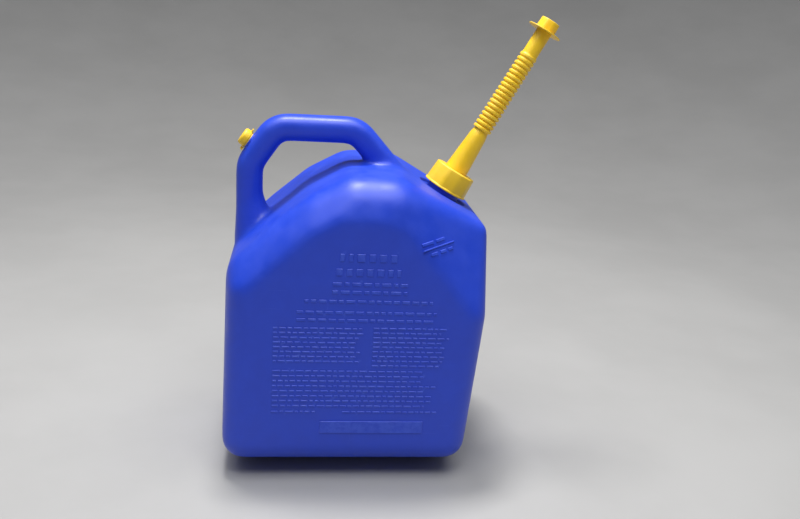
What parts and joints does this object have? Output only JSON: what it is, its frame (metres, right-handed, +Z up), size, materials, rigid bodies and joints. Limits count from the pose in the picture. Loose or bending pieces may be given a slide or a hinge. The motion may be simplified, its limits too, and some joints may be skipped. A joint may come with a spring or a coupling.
{
  "type": "fuel can",
  "caption": "Blow-moulded fuel can with a moulded handle, screw collar, flexible pouring spout, tip cap and vent cap.",
  "frame": {"origin": "centre of the flat base, on the plane the can stands on", "axes": "+X towards the pouring end, +Y across the can away from the near broad face, +Z up"},
  "size_m": [0.3763, 0.2436, 0.5321],
  "materials": {
    "tank": "satin blow-moulded polyethylene, fine grain",
    "collar": "satin injection-moulded polyethylene",
    "spout": "soft satin polyethylene",
    "cap": "satin polyethylene",
    "seal": "matt nitrile rubber"
  },
  "bodies": {
    "tank": {"tank_body": "tank", "vent_strap": "cap"},
    "seal": {"neck_gasket": "seal"},
    "collar": {"spout_collar": "collar"},
    "spout": {"spout_base": "spout"},
    "link_1": {"bellows_link_1": "spout"},
    "link_2": {"bellows_link_2": "spout"},
    "link_3": {"bellows_link_3": "spout"},
    "link_4": {"bellows_link_4": "spout"},
    "link_5": {"bellows_link_5": "spout"},
    "tip": {"spout_tip": "spout"},
    "tip_cap": {"tip_cap": "cap"},
    "vent_cap": {"vent_cap": "cap"}
  },
  "joints": [
    {"name": "collar_rise", "type": "slide", "parent": "tank", "child": "seal", "axis": [0.4777, 0, 0.8785], "range_m": [0, 0.024]},
    {"name": "collar_turn", "type": "hinge", "parent": "seal", "child": "collar", "pos_m": [0.11655, 0, 0.33717], "axis": [0.4777, 0, 0.8785], "range_deg": [0, 1440]},
    {"name": "spout_swivel", "type": "hinge", "parent": "seal", "child": "spout", "pos_m": [0.12133, 0, 0.34595], "axis": [0.4777, 0, 0.8785], "continuous": true},
    {"name": "bend_1", "type": "hinge", "parent": "spout", "child": "link_1", "pos_m": [0.15472, 0, 0.40736], "axis": [0, 1, 0], "range_deg": [0, 15]},
    {"name": "bend_2", "type": "hinge", "parent": "link_1", "child": "link_2", "pos_m": [0.16289, 0, 0.42239], "axis": [0, 1, 0], "range_deg": [0, 15]},
    {"name": "bend_3", "type": "hinge", "parent": "link_2", "child": "link_3", "pos_m": [0.17105, 0, 0.43741], "axis": [0, 1, 0], "range_deg": [0, 15]},
    {"name": "bend_4", "type": "hinge", "parent": "link_3", "child": "link_4", "pos_m": [0.17922, 0, 0.45243], "axis": [0, 1, 0], "range_deg": [0, 15]},
    {"name": "bend_5", "type": "hinge", "parent": "link_4", "child": "link_5", "pos_m": [0.18739, 0, 0.46745], "axis": [0, 1, 0], "range_deg": [0, 15]},
    {"name": "bend_6", "type": "hinge", "parent": "link_5", "child": "tip", "pos_m": [0.19556, 0, 0.48248], "axis": [0, 1, 0], "range_deg": [0, 15]},
    {"name": "tip_cap_pull", "type": "slide", "parent": "tip", "child": "tip_cap", "axis": [0.4777, 0, 0.8785], "range_m": [0, 0.03]},
    {"name": "vent_cap_flip", "type": "hinge", "parent": "tank", "child": "vent_cap", "pos_m": [-0.13125, 0, 0.36538], "axis": [0, -1, 0], "range_deg": [0, 120]}
  ],
  "couplings": [
    {"joint": "collar_rise", "follows": "collar_turn", "m_per_rad": 0.00095493},
    {"joint": "bend_2", "follows": "bend_1", "ratio": 1},
    {"joint": "bend_3", "follows": "bend_1", "ratio": 1},
    {"joint": "bend_4", "follows": "bend_1", "ratio": 1},
    {"joint": "bend_5", "follows": "bend_1", "ratio": 1},
    {"joint": "bend_6", "follows": "bend_1", "ratio": 1}
  ]
}
